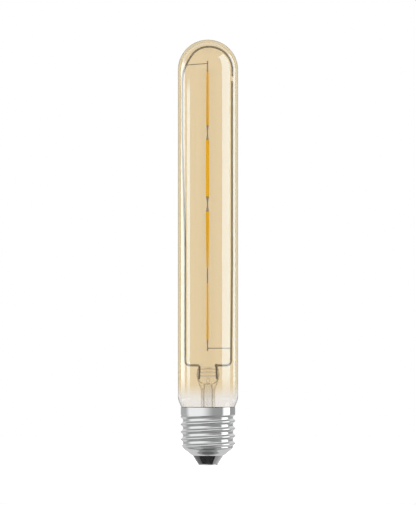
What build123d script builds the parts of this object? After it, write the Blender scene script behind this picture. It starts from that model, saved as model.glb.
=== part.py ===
from build123d import *
import math
import os

# Tubular filament lamp on a 27 mm screw cap, in millimetres.
# The lamp's axis is Z, and Z = 0 is the flat under the centre contact.

# Whole lamp
overall_length = 205.7
tube_diameter = 29.1

# Glass bulb
glass_wall = 1.0
taper_height = 3.9
taper_bend = 8.0
neck_depth = 7.0
neck_clearance = 0.35
shoulder_overhang = 0.05
shoulder_width = 0.8
shoulder_drop = 0.3
shoulder_lift = 0.2
neck_taper_height = 2.4
shoulder_bend = 0.25
shoulder_thickening = 0.7
neck_bend = 1.5

# Screw cap
thread_diameter = 26.3
thread_pitch = 3.629
thread_depth = 1.1
thread_turns = 4.5
thread_levels_per_turn = 6
thread_start_angle = 150.0
thread_run_in = 1.2
thread_run_out = 1.7
sheet_wall = 0.3
skirt_height = 3.2
cone_height = 3.9
lip_radius = 7.3
cement_height = 2.0

# Insulator and centre contact
insulator_height = 4.05
insulator_foot_radius = 4.75
insulator_floor = 2.6
insulator_ledge = 2.3
ledge_drop = 0.3
funnel_margin = 1.5
contact_radius = 4.6
contact_thickness = 0.55
contact_rounding = 0.4
shank_radius = 1.2
shank_height = 4.9
shank_bore_radius = 0.6
shank_bore_depth = 3.0
shank_fit = 0.03

# Stem, with its flare, tube, pinch and exhaust tube
stem_diameter = 7.0
stem_wall = 1.0
flare_thickness = 1.0
stem_height = 19.6
pinch_height = 11.1
pinch_width = 10.9
pinch_thickness = 4.2
pinch_shoulder_width = 9.3
pinch_shoulder_thickness = 5.8
pinch_crown_width = 9.0
pinch_crown_thickness = 2.4
pinch_shoulder_level = 0.27
pinch_widest_level = 0.64
bore_rise = 3.0
exhaust_diameter = 3.0
exhaust_wall = 0.5
exhaust_tail = 3.5
exhaust_hole_radius = 0.7
exhaust_hole_rise = 1.9

# Support wires and thin cross wires
support_diameter = 1.0
support_clearance = 1.2
support_lean = 0.75
left_bow = 0.6
right_lean = 0.5
left_bow_start = 0.39
left_bow_end = 0.71
right_lean_end = 0.34
bow_bend = 150.0
arch_clearance = 1.9
arch_slope = 31.0
slope_bend_share = 1.6
crown_bend_share = 0.8
crown_end = 0.2
arch_flat = 0.65
arch_tail = 3.1
support_gap = 2.4
lead_edge = 1.35
lead_depth = 6.1
lead_bend = 1.1
foot_rise = 0.6
foot_bend = 2.4
lap_overrun = 0.9
lead_overrun = 0.8
cross_diameter = 0.4
cross_overrun = 0.2
weld_gap = 0.02

# Filaments, numbered from the dome down
filament_count = 4
filament_offset = -0.25
column_top_clearance = 15.5
column_foot_clearance = 12.9
link_gap = 7.08
top_coat_shortfall = 1.6
coat_width = 1.55
coat_thickness = 0.8
coat_corner = 0.3
core_width = 0.9
core_thickness = 0.25
tab_width = 1.4
tab_thickness = 0.5
tab_length = 2.2
pin_diameter = 0.66
pin_end_gap = 0.14
end_pin_length = 5.3
cross_setback = 1.3
cross_drop = 0.8
coat_foot_angles = (120.0, 170.0, 95.0, 74.0)
coat_twists = (-18.0, 10.0, 75.0, 16.0)

# Outer leads and driver
outer_lead_diameter = 0.4
outer_lead_drop = 0.8
outer_lead_end = 1.5
board_width = 19.0
board_height = 11.2
board_thickness = 1.0
board_setback = 2.0
part_gap = 0.05
capacitor_diameter = 6.3
capacitor_length = 8.0
capacitor_rounding = 0.5
choke_diameter = 6.0
choke_length = 7.0
choke_waist_diameter = 4.4
choke_flange = 1.2
parts_side_gap = 0.2
parts_rise = 0.8
resistor_diameter = 2.4
resistor_length = 6.0
resistor_rise = 0.3
resistor_neck = 0.35
rectifier_size = (4.7, 2.5, 3.9)
rectifier_place = (-4.6, 3.6)
chip_size = (4.9, 1.5, 3.9)
chip_place = (4.4, 4.0)
package_chamfer = 0.25
hookup_diameter = 0.7
live_wire_insert = 1.5
live_wire_bend = 1.0
neutral_wire_rise = 1.1
neutral_wire_run = 2.0
neutral_end_gap = 0.1

# Levels and radii worked out from those sizes
tube_radius = tube_diameter / 2
dome_base = overall_length - tube_radius
lip_level = contact_thickness + insulator_height
thread_bottom = lip_level + cone_height
thread_top = thread_bottom + thread_turns * thread_pitch
cap_top = thread_top + skirt_height
thread_radius = thread_diameter / 2
root_radius = thread_radius - thread_depth
skirt_inner_radius = thread_radius - sheet_wall
root_inner_radius = root_radius - sheet_wall
neck_radius = root_inner_radius - neck_clearance
neck_end = cap_top - neck_depth
shoulder_level = cap_top + shoulder_lift
stem_radius = stem_diameter / 2
stem_bore_radius = stem_radius - stem_wall
pinch_top = cap_top + stem_height
pinch_base = pinch_top - pinch_height
bore_top = pinch_base + bore_rise
exhaust_radius = exhaust_diameter / 2
exhaust_tip = neck_end - exhaust_tail
support_radius = support_diameter / 2
shoulder_x = tube_radius - glass_wall - support_clearance - support_radius
foot_x = shoulder_x - support_lean
left_x = shoulder_x + left_bow
right_x = foot_x + right_lean
foot_level = pinch_top + foot_rise
lead_x = pinch_width / 2 - lead_edge
lead_foot = pinch_top - lead_depth
lap_y = -(support_diameter + weld_gap)
arch_top = overall_length - glass_wall - arch_clearance - support_radius
arch_bend = shoulder_x - arch_flat
arch_end = arch_top - arch_bend - arch_tail
slope_bend = slope_bend_share * left_x
crown_bend = crown_bend_share * left_x
crown_x = crown_end - crown_bend * math.tan(math.radians(90 - arch_slope) / 2)
slope_level = arch_top - (left_x + crown_x) / math.tan(math.radians(arch_slope))
cross_radius = cross_diameter / 2
column_top = overall_length - column_top_clearance
column_foot = pinch_top + column_foot_clearance
links = filament_count - 1
coat_length = (column_top - column_foot - links * link_gap + top_coat_shortfall) / filament_count
pin_radius = pin_diameter / 2
pin_y = pin_radius + weld_gap
link_pin_length = link_gap - tab_length - pin_end_gap
ledge_level = thread_bottom - ledge_drop
outer_lead_radius = outer_lead_diameter / 2
outer_lead_x = (exhaust_radius + stem_bore_radius) / 2
board_foot = ledge_level
board_top = board_foot + board_height
board_back = board_setback + board_thickness
hookup_radius = hookup_diameter / 2
resistor_radius = resistor_diameter / 2
resistor_y = board_setback - part_gap - resistor_radius
resistor_foot = board_foot + resistor_rise


def turned(outline):
    """A solid turned about the lamp's axis from an outline drawn as (radius, height)."""
    return revolve(Plane.XZ * make_face(outline), Axis.Z)


def round_bar(path, radius):
    """A round bar of one radius along a path."""
    return sweep(Plane(path @ 0, z_dir=path % 0) * Circle(radius), path)


def straight_bar(start, end, radius):
    """A straight round bar between two points."""
    return round_bar(Line(start, end), radius)


def ramp(share):
    """A smooth step from 0 to 1 as share goes from 0 to 1."""
    held = min(max(share, 0.0), 1.0)
    return held * held * (3 - 2 * held)


# Glass bulb: domed tube with a tapered shoulder above a narrow neck, open at the neck's end
def glass_form(inset, end):
    """The bulb's full form, set in by inset on every wall and running down to end."""
    radius = tube_radius - inset
    lift = shoulder_level + shoulder_thickening * inset
    shoulder = thread_radius + shoulder_overhang - inset
    step = shoulder - shoulder_width
    neck = neck_radius - inset
    dome = CenterArc((0, dome_base), radius, 0, 90)
    corners = [
        (radius, dome_base),
        (radius, shoulder_level + taper_height),
        (shoulder, lift),
        (step, lift - shoulder_drop),
        (neck, lift - shoulder_drop - neck_taper_height),
        (neck, end),
    ]
    side = FilletPolyline(*corners, radius=[taper_bend, shoulder_bend, shoulder_bend, neck_bend])
    closing = Polyline((neck, end), (0, end), (0, dome_base + radius))
    return turned([dome, side, closing])


glass_bulb = glass_form(0, neck_end) - glass_form(glass_wall, neck_end - glass_wall)


# Screw shell: each level of the knuckle thread is a circle set off the axis, turning once a pitch
def thread_level(level, inset):
    """The thread's round section at one level, set in by inset."""
    peak = thread_radius - thread_depth * (1 - ramp((level - thread_bottom) / thread_run_in))
    root = thread_radius - thread_depth * ramp((thread_top - level) / thread_run_out)
    offset = (peak - root) / 2
    angle = thread_start_angle + 360 * (level - thread_bottom) / thread_pitch
    centre = Vector(offset, 0, level).rotate(Axis.Z, angle)
    return Plane(centre) * Circle((peak + root) / 2 - inset)


def thread_form(inset):
    """The threaded length, set in by inset."""
    steps = round(thread_turns * thread_levels_per_turn)
    rise = (thread_top - thread_bottom) / steps
    return loft([thread_level(thread_bottom + i * rise, inset) for i in range(steps + 1)], ruled=True)


def skirt_form(radius):
    """The plain skirt above the thread."""
    return straight_bar((0, 0, thread_top), (0, 0, cap_top), radius)


cone_slope = (root_radius - lip_radius) / cone_height
cone_length = math.hypot(root_radius - lip_radius, cone_height)
lip_inner_radius = lip_radius - sheet_wall * cone_height / cone_length
lip_inner_level = lip_level + sheet_wall * (root_radius - lip_radius) / cone_length


def cone_inner_radius(level):
    """The inner radius of the shell's cone at a level."""
    return lip_inner_radius + (level - lip_inner_level) * cone_slope


cone_wall = turned(
    Polyline(
        (lip_radius, lip_level),
        (root_radius, thread_bottom),
        (cone_inner_radius(thread_bottom), thread_bottom),
        (lip_inner_radius, lip_inner_level),
        close=True,
    )
)
thread_wall = thread_form(0) - thread_form(sheet_wall)
skirt_wall = skirt_form(thread_radius) - skirt_form(skirt_inner_radius)
cap_shell = cone_wall + thread_wall + skirt_wall

# Cement ring between the neck and the skirt
cement_top = thread_top + cement_height
capping_cement = turned(
    Polyline(
        (neck_radius, thread_top),
        (skirt_inner_radius, thread_top),
        (skirt_inner_radius, cement_top),
        (neck_radius, cement_top),
        close=True,
    )
)
capping_cement -= glass_form(0, neck_end)

# Insulator: a dish under the shell's cone, with a ledge for the board and a hole for the contact
hole_radius = shank_radius + shank_fit
floor_level = contact_thickness + insulator_floor
ledge_radius = cone_inner_radius(ledge_level)
cap_insulator = turned(
    Polyline(
        (hole_radius, contact_thickness),
        (insulator_foot_radius, contact_thickness),
        (lip_radius, lip_level),
        (lip_inner_radius, lip_inner_level),
        (ledge_radius, ledge_level),
        (ledge_radius - insulator_ledge, ledge_level),
        (hole_radius + funnel_margin, floor_level),
        (hole_radius, floor_level),
        close=True,
    )
)

# Centre contact: a flat head with a rounded edge and a hollow shank through the insulator
shank_top = contact_thickness + shank_height
contact_head = Cylinder(contact_radius, contact_thickness, align=(Align.CENTER, Align.CENTER, Align.MIN))
contact_head = fillet(contact_head.edges().sort_by(Axis.Z)[0], contact_rounding)
shank = straight_bar((0, 0, contact_thickness), (0, 0, shank_top), shank_radius)
shank_bore = straight_bar((0, 0, shank_top - shank_bore_depth), (0, 0, shank_top), shank_bore_radius)
centre_contact = contact_head + shank - shank_bore


# Support wires: the left one arches over the dome, the right one is lapped on a short stem lead
left_rise = arch_top - foot_level
left_corners = [
    (-lead_x, 0, lead_foot),
    (-lead_x, 0, foot_level),
    (-foot_x, 0, foot_level),
    (-foot_x, 0, foot_level + left_bow_start * left_rise),
    (-left_x, 0, foot_level + left_bow_end * left_rise),
    (-left_x, 0, slope_level),
    (crown_x, 0, arch_top),
    (shoulder_x, 0, arch_top),
    (shoulder_x, 0, arch_end),
]
left_bends = [lead_bend, foot_bend, bow_bend, bow_bend, slope_bend, crown_bend, arch_bend]
left_support_wire = round_bar(FilletPolyline(*left_corners, radius=left_bends), support_radius)

right_end = arch_end - support_gap
right_lean_rise = right_lean_end * (right_end - foot_level)
right_corners = [
    (lead_x - lap_overrun, lap_y, foot_level),
    (foot_x, lap_y, foot_level),
    (right_x, lap_y, foot_level + right_lean_rise),
    (right_x, lap_y, right_end),
]
right_path = FilletPolyline(*right_corners, radius=[foot_bend, bow_bend])
right_support_wire = round_bar(right_path, support_radius)
right_stem_lead = straight_bar(
    (lead_x, 0, lead_foot),
    (lead_x, 0, foot_level + lead_overrun),
    support_radius,
)


# Filaments: a flat strip with tabs and pins, inside a coat that twists with it
def twisted(section, foot, length, angle, twist):
    """A section extruded up the filament column and turned by twist on its way."""
    turned_section = Pos(filament_offset, 0, foot) * Rot(0, 0, angle) * section
    return Solid.extrude_linear_with_rotation(
        turned_section.face(), (filament_offset, 0, foot), (0, 0, length), twist
    )


def tab(level, angle, direction):
    """A tapered end tab that leaves a coat's end upwards (1) or downwards (-1)."""
    outline = Polyline(
        (-tab_width / 2, 0),
        (tab_width / 2, 0),
        (pin_radius, direction * tab_length),
        (-pin_radius, direction * tab_length),
        close=True,
    )
    plate = extrude(Plane.XZ * make_face(outline), tab_thickness / 2, both=True)
    return Pos(filament_offset, 0, level) * Rot(0, 0, angle) * plate


def pin(level, reach, side):
    """A round pin welded along a tab, on one side of the column."""
    start = (filament_offset, side * pin_y, level)
    return straight_bar(start, (filament_offset, side * pin_y, level + reach), pin_radius)


def filament(foot, length, angle, twist, upper_pin, lower_pin):
    """One filament's strip and coat, with pins of the given lengths."""
    top = foot + length
    core_section = Rectangle(core_width, core_thickness)
    coat_section = RectangleRounded(coat_width, coat_thickness, coat_corner)
    core = twisted(core_section, foot, length, angle, twist)
    coat = twisted(coat_section, foot, length, angle, twist) - core
    strip = core + tab(top, angle + twist, 1) + tab(foot, angle, -1)
    strip += pin(top + tab_length / 2, upper_pin - tab_length / 2, 1)
    strip += pin(foot - tab_length / 2, tab_length / 2 - lower_pin, -1)
    return strip, coat


strips = []
coats = []
coat_top = column_top
for i in range(filament_count):
    length = coat_length - (top_coat_shortfall if i == 0 else 0)
    upper_pin = end_pin_length if i == 0 else link_pin_length
    lower_pin = end_pin_length if i == links else link_pin_length
    strip, coat = filament(
        coat_top - length, length, coat_foot_angles[i], coat_twists[i], upper_pin, lower_pin
    )
    strips.append(strip)
    coats.append(coat)
    coat_top -= length + link_gap

# Thin cross wires from the column's end pins to the support wires
top_cross_level = column_top + end_pin_length - cross_setback
bottom_cross_level = column_foot - end_pin_length + cross_setback
top_cross_foot = top_cross_level - cross_drop
slope_start = slope_level - slope_bend * math.tan(math.radians(arch_slope) / 2)
slope_rise = top_cross_foot - slope_start
top_cross_x = slope_bend - left_x - math.sqrt(slope_bend**2 - slope_rise**2)
support_weld = support_radius + cross_radius + weld_gap
pin_weld = pin_radius + cross_radius + weld_gap
top_cross_wire = straight_bar(
    (top_cross_x, -support_weld, top_cross_foot),
    (filament_offset + cross_overrun, pin_y - pin_weld, top_cross_level),
    cross_radius,
)
bottom_cross_x = foot_x + right_lean * (bottom_cross_level - foot_level) / right_lean_rise
bottom_cross_wire = straight_bar(
    (filament_offset - cross_overrun, pin_weld - pin_y, bottom_cross_level),
    (bottom_cross_x, lap_y + support_weld, bottom_cross_level),
    cross_radius,
)


# Outer leads: from the foot of each inner lead, down the stem's bore to the board
def outer_lead(side):
    """The thin lead on one side (-1 left, 1 right)."""
    corners = [
        (side * lead_x, 0, lead_foot),
        (side * lead_x, 0, lead_foot - outer_lead_drop),
        (side * outer_lead_x, 0, bore_top - outer_lead_diameter),
        (side * outer_lead_x, 0, neck_end),
        (side * lead_x, board_setback - part_gap - outer_lead_radius, board_top),
        (side * lead_x, board_setback - part_gap - outer_lead_radius, board_top - outer_lead_end),
    ]
    return round_bar(FilletPolyline(*corners, radius=outer_lead_diameter), outer_lead_radius)


left_outer_lead = outer_lead(-1)
right_outer_lead = outer_lead(1)

# Stem: flared foot and tube turned in one wall, with a flat pinch lofted on top
rim_inner_radius = neck_radius - glass_wall
rim_foot = neck_end - flare_thickness
upper_flare = rim_inner_radius - stem_radius
lower_flare = neck_radius - stem_bore_radius
stem_wall_outline = [
    Polyline((neck_radius, rim_foot), (neck_radius, neck_end), (rim_inner_radius, neck_end)),
    RadiusArc((rim_inner_radius, neck_end), (stem_radius, neck_end + upper_flare), upper_flare),
    Polyline(
        (stem_radius, neck_end + upper_flare),
        (stem_radius, pinch_base),
        (stem_bore_radius, pinch_base),
        (stem_bore_radius, rim_foot + lower_flare),
    ),
    RadiusArc((stem_bore_radius, rim_foot + lower_flare), (neck_radius, rim_foot), -lower_flare),
]
pinch = loft(
    [
        Pos(0, 0, pinch_base) * Circle(stem_radius),
        Pos(0, 0, pinch_base + pinch_shoulder_level * pinch_height)
        * Ellipse(pinch_shoulder_width / 2, pinch_shoulder_thickness / 2),
        Pos(0, 0, pinch_base + pinch_widest_level * pinch_height)
        * Ellipse(pinch_width / 2, pinch_thickness / 2),
        Pos(0, 0, pinch_top) * Ellipse(pinch_crown_width / 2, pinch_crown_thickness / 2),
    ]
)
hole_level = bore_top + exhaust_hole_rise
pinch -= straight_bar((0, 0, pinch_base), (0, 0, bore_top), stem_bore_radius)
pinch -= straight_bar((0, 0, bore_top), (0, 0, hole_level), exhaust_hole_radius)
pinch -= straight_bar((0, -pinch_width, hole_level), (0, 0, hole_level), exhaust_hole_radius)
stem = turned(stem_wall_outline) + pinch
stem = stem - left_support_wire - right_stem_lead - left_outer_lead - right_outer_lead

# Exhaust tube: open at the pinch and melted shut at its tip
exhaust_bore_radius = exhaust_radius - exhaust_wall
tip_centre = exhaust_tip + exhaust_radius
exhaust_tube = turned(
    [
        Polyline(
            (exhaust_bore_radius, tip_centre),
            (exhaust_bore_radius, bore_top),
            (exhaust_radius, bore_top),
            (exhaust_radius, tip_centre),
        ),
        RadiusArc((exhaust_radius, tip_centre), (0, exhaust_tip), exhaust_radius),
        Line((0, exhaust_tip), (0, exhaust_tip + exhaust_wall)),
        RadiusArc((0, exhaust_tip + exhaust_wall), (exhaust_bore_radius, tip_centre), -exhaust_bore_radius),
    ]
)

# Driver board, standing on the insulator's ledge behind the exhaust tube
board_middle = board_setback + board_thickness / 2
driver_board = Pos(0, board_middle, board_foot + board_height / 2) * Box(
    board_width, board_thickness, board_height
)

# Fusible resistor: a bulged body in the middle of the board's front
resistor_end_radius = resistor_radius - resistor_neck
resistor_top = resistor_foot + resistor_length
resistor_outline = Polyline(
    (0, resistor_foot),
    (resistor_end_radius, resistor_foot),
    (resistor_radius, resistor_foot + resistor_neck),
    (resistor_radius, resistor_top - resistor_neck),
    (resistor_end_radius, resistor_top),
    (0, resistor_top),
    close=True,
)
fusible_resistor = Pos(0, resistor_y, 0) * turned(resistor_outline)

# Smoothing capacitor and filter choke, upright on either side of the resistor
parts_foot = board_foot + parts_rise
capacitor_radius = capacitor_diameter / 2
capacitor_x = -(resistor_radius + parts_side_gap + capacitor_radius)
capacitor_y = board_setback - part_gap - capacitor_radius
capacitor_can = Cylinder(capacitor_radius, capacitor_length, align=(Align.CENTER, Align.CENTER, Align.MIN))
capacitor_can = fillet(capacitor_can.edges(), capacitor_rounding)
smoothing_capacitor = Pos(capacitor_x, capacitor_y, parts_foot) * capacitor_can

choke_radius = choke_diameter / 2
choke_waist = choke_waist_diameter / 2
choke_x = resistor_radius + parts_side_gap + choke_radius
choke_outline = Polyline(
    (0, 0),
    (choke_radius, 0),
    (choke_radius, choke_flange),
    (choke_waist, choke_flange),
    (choke_waist, choke_length - choke_flange),
    (choke_radius, choke_length - choke_flange),
    (choke_radius, choke_length),
    (0, choke_length),
    close=True,
)
filter_choke = Pos(choke_x, board_setback - part_gap - choke_radius, parts_foot) * turned(choke_outline)


# Rectifier and driver chip on the board's back
def package(size, place):
    """A chamfered moulded package lying on the board's back."""
    width, depth, height = size
    x, rise = place
    body = Box(width, depth, height)
    body = chamfer(body.edges().filter_by(Axis.Z), package_chamfer)
    return Pos(x, board_back + depth / 2, board_foot + rise) * body


bridge_rectifier = package(rectifier_size, rectifier_place)
driver_chip = package(chip_size, chip_place)

# Hook-up wires: the live one from the contact's shank to the resistor, the neutral one to the shell
live_path = FilletPolyline(
    (0, 0, shank_top - live_wire_insert),
    (0, 0, shank_top + hookup_diameter),
    (0, resistor_y, resistor_foot - hookup_diameter),
    (0, resistor_y, resistor_foot),
    radius=live_wire_bend,
)
live_wire = round_bar(live_path, hookup_radius)

neutral_y = board_back + part_gap + hookup_radius
neutral_level = thread_bottom + neutral_wire_rise
neutral_x = -board_width / 2
neutral_reach = -math.sqrt((root_inner_radius - neutral_end_gap) ** 2 - (neutral_y + hookup_radius) ** 2)
neutral_wire = straight_bar(
    (neutral_x + neutral_wire_run, neutral_y, neutral_level),
    (neutral_reach, neutral_y, neutral_level),
    hookup_radius,
)

# One file for each piece
pieces = {
    "glass_bulb": glass_bulb,
    "cap_shell": cap_shell,
    "capping_cement": capping_cement,
    "cap_insulator": cap_insulator,
    "centre_contact": centre_contact,
    "left_support_wire": left_support_wire,
    "right_support_wire": right_support_wire,
    "right_stem_lead": right_stem_lead,
    "top_cross_wire": top_cross_wire,
    "bottom_cross_wire": bottom_cross_wire,
    "left_outer_lead": left_outer_lead,
    "right_outer_lead": right_outer_lead,
    "stem": stem,
    "exhaust_tube": exhaust_tube,
    "driver_board": driver_board,
    "fusible_resistor": fusible_resistor,
    "smoothing_capacitor": smoothing_capacitor,
    "filter_choke": filter_choke,
    "bridge_rectifier": bridge_rectifier,
    "driver_chip": driver_chip,
    "live_wire": live_wire,
    "neutral_wire": neutral_wire,
}
for i in range(filament_count):
    pieces[f"filament_strip_{i + 1}"] = strips[i]
    pieces[f"filament_coat_{i + 1}"] = coats[i]

os.makedirs("parts", exist_ok=True)
for name, piece in pieces.items():
    export_step(piece, f"parts/{name}.step")
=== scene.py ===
import logging
import math
from dataclasses import dataclass
from enum import Enum
from functools import cache

import bpy
from mathutils import Matrix, Vector


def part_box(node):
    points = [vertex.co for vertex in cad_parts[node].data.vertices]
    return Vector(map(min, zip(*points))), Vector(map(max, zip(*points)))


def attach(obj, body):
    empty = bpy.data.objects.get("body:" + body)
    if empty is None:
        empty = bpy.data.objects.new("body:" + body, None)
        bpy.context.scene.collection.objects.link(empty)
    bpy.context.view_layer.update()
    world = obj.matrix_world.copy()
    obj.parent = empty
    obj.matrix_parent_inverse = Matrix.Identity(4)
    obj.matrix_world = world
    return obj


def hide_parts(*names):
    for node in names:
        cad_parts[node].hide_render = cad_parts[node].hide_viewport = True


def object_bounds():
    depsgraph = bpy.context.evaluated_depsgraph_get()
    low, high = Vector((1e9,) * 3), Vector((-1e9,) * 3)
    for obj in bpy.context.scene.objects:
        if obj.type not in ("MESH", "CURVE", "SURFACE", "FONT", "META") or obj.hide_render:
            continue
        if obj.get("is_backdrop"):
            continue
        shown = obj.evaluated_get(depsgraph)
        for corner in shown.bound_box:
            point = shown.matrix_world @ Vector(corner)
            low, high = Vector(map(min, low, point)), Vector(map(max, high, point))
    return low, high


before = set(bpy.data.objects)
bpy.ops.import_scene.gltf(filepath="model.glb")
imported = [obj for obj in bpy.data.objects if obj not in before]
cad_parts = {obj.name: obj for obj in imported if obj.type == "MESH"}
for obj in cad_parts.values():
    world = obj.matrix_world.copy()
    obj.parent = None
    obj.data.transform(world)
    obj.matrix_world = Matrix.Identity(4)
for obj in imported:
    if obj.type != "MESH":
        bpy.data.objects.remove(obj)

# Amber tubular filament lamp on a screw cap, in metres, in the frame of its solids.

LOG = logging.getLogger("lamp")
BODY = "root"
MM = 0.001
ORIGIN = Vector((0.0, 0.0, 0.0))
UP = Vector((0.0, 0.0, 1.0))
# Sizes, angles and steps that the modelling shares
SEED_SIZE = 1.0 * MM
MERGE_DISTANCE = 0.0005 * MM
SMOOTH_ANGLE = math.radians(32.0)
SHARP_ANGLE = math.radians(50.0)
BEND_STEP = 5.0
FEWEST_BEND_STEPS = 3
WIRE_END_ROUND = 0.25
# Levels of detail in noise, and the blend of a plain facing ratio
BROAD_DETAIL = 2.0
FINE_DETAIL = 4.0
EVEN_FACING = 0.5
# Sockets of a Mix node that blends colours
MIX_SHARE = 0
MIX_FIRST = 6
MIX_SECOND = 7
MIX_RESULT = 2

Colour = tuple[float, float, float, float]
Piece = bpy.types.Object


def grey(level: float) -> Colour:
    """A neutral colour of one level."""
    return (level, level, level, 1.0)


class Grain(Enum):
    """The way that marks run on a surface, as a stretch of its pattern in X, Y and Z."""

    EVEN = (1.0, 1.0, 1.0)
    AROUND = (0.12, 0.12, 2.6)
    ALONG = (3.0, 3.0, 0.06)


class Sweep(Enum):
    """The angle that a panel of the sky spans: round the lamp, or away from the camera."""

    ROUND = "round"
    AWAY = "away"


class Rise(Enum):
    """The height that a panel of the sky spans.

    HEIGHT is the elevation, and TILT is the lean of a mirror that shows the panel to the front.
    """

    HEIGHT = "height"
    TILT = "tilt"


class Side(Enum):
    """A side of the lamp as the camera sees it."""

    LEFT = -1.0
    RIGHT = 1.0


class Way(Enum):
    """The way that a tab points along the lamp."""

    UPWARDS = 1.0
    DOWNWARDS = -1.0


class Signal:
    """A node's output that Python operators join to further Math nodes."""

    def __init__(self, graph: "Graph", socket: bpy.types.NodeSocket | None) -> None:
        """Keeps the socket, or none of an end node, and the graph that it belongs to."""
        self.graph = graph
        self.socket = socket

    def maths(self, operation: str, first: "Source", second: "Source") -> "Signal":
        """One Math node on two values."""
        return self.graph.node("ShaderNodeMath", {"operation": operation}, {0: first, 1: second})

    def __add__(self, other: "Source") -> "Signal":
        """This value plus another."""
        return self.maths("ADD", self, other)

    __radd__ = __add__

    def __rsub__(self, other: "Source") -> "Signal":
        """Another value less this one."""
        return self.maths("SUBTRACT", other, self)

    def __mul__(self, other: "Source") -> "Signal":
        """This value times another."""
        return self.maths("MULTIPLY", self, other)

    __rmul__ = __mul__

    def __truediv__(self, other: "Source") -> "Signal":
        """This value divided by another."""
        return self.maths("DIVIDE", self, other)


Source = Signal | float | tuple[float, ...]


class Graph:
    """The nodes of one material or world."""

    def __init__(self, tree: bpy.types.NodeTree) -> None:
        """Starts from an emptied tree."""
        tree.nodes.clear()
        self.tree = tree

    def node(
        self,
        kind: str,
        settings: dict[str, object] | None = None,
        inputs: dict[str | int, Source] | None = None,
        output: str | int = 0,
    ) -> Signal:
        """Adds one node.

        Args:
            kind: the node's type.
            settings: the node's own options, set first.
            inputs: values or signals for its sockets, by name or number.
            output: the socket that the returned signal reads.

        Returns:
            The chosen output.
        """
        made = self.tree.nodes.new(kind)
        for name, value in (settings or {}).items():
            setattr(made, name, value)
        for name, value in (inputs or {}).items():
            if isinstance(value, Signal):
                self.tree.links.new(value.socket, made.inputs[name])
            else:
                made.inputs[name].default_value = value
        return Signal(self, made.outputs[output] if len(made.outputs) else None)

    def place(self) -> Signal:
        """The point on the object, in its own frame."""
        return self.node("ShaderNodeTexCoord", output="Object")

    def part(self, vector: Signal, axis: str) -> Signal:
        """One component of a vector."""
        return self.node("ShaderNodeSeparateXYZ", {}, {0: vector}, axis)

    def noise(self, grain: Grain, scale: float, detail: float = 3.0) -> Signal:
        """Noise from 0 to 1 over the object, stretched by a grain."""
        spread = self.node("ShaderNodeMapping", {}, {"Vector": self.place(), "Scale": grain.value})
        values = {"Vector": spread, "Scale": scale, "Detail": detail}
        return self.node("ShaderNodeTexNoise", {}, values)

    def between(self, value: Source, low: float, high: float) -> Signal:
        """A smooth step from 0 at low to 1 at high."""
        limits = {"Value": value, "From Min": low, "From Max": high}
        return self.node("ShaderNodeMapRange", {"interpolation_type": "SMOOTHSTEP"}, limits)

    def blend(self, share: Source, first: Source, second: Source) -> Signal:
        """Two colours mixed by a share of the second."""
        values = {MIX_SHARE: share, MIX_FIRST: first, MIX_SECOND: second}
        return self.node("ShaderNodeMix", {"data_type": "RGBA"}, values, MIX_RESULT)

    def bump(self, height: Signal, distance: float, strength: float) -> Signal:
        """A normal from a height."""
        values = {"Strength": strength, "Distance": distance, "Height": height}
        return self.node("ShaderNodeBump", {}, values)

    def body(self, values: dict[str, Source]) -> Signal:
        """A Principled shader with some of its sockets set."""
        return self.node("ShaderNodeBsdfPrincipled", {}, values)

    def surface(self, shader: Signal, kind: str = "ShaderNodeOutputMaterial") -> None:
        """Joins a shader to the graph's output."""
        self.node(kind, {}, {"Surface": shader})


@dataclass(frozen=True)
class Finish:
    """A surface finish, with the name of its material."""

    name: str

    @cache
    def material(self) -> bpy.types.Material:
        """The finish's material, made at its first use."""
        made = bpy.data.materials.new(self.name)
        made.use_nodes = True
        graph = Graph(made.node_tree)
        graph.surface(self.shade(graph))
        return made

    def shade(self, graph: Graph) -> Signal:
        """The finish's shader, added to a graph."""
        raise NotImplementedError


@dataclass(frozen=True)
class Glass(Finish):
    """Drawn glass, tinted above a fade and clear below it, that lets lamp light through."""

    tint: Colour
    deep: Colour
    clear: Colour
    fade_low: float
    fade_high: float
    edge: Colour
    edge_start: float = 0.5
    edge_full: float = 0.78
    streak_scale: float = 260.0
    index: float = 1.5

    def shade(self, graph: Graph) -> Signal:
        """Refracting glass whose tint fades along the lamp, with painted shade where the wall is seen
        edge on.
        """
        height = graph.part(graph.place(), "Z")
        fade = graph.between(height, self.fade_low, self.fade_high)
        streak = graph.noise(Grain.ALONG, self.streak_scale)
        tint = graph.blend(streak, self.tint, self.deep)
        # The edge colour laid on by facing is painted shade at the wall's grazing edges; on amber glass
        # it is also the deeper amber of its longer path
        facing = graph.node("ShaderNodeLayerWeight", {}, {"Blend": EVEN_FACING}, "Facing")
        tint = graph.blend(graph.between(facing, self.edge_start, self.edge_full), tint, self.edge)
        colour = graph.blend(fade, self.clear, tint)
        glass = graph.body(
            {"Base Color": colour, "Roughness": 0.0, "IOR": self.index, "Transmission Weight": 1.0}
        )
        light = graph.node("ShaderNodeBsdfTransparent", {}, {"Color": colour})
        shadow = graph.node("ShaderNodeLightPath", output="Is Shadow Ray")
        return graph.node("ShaderNodeMixShader", {}, {0: shadow, 1: glass, 2: light})


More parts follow.
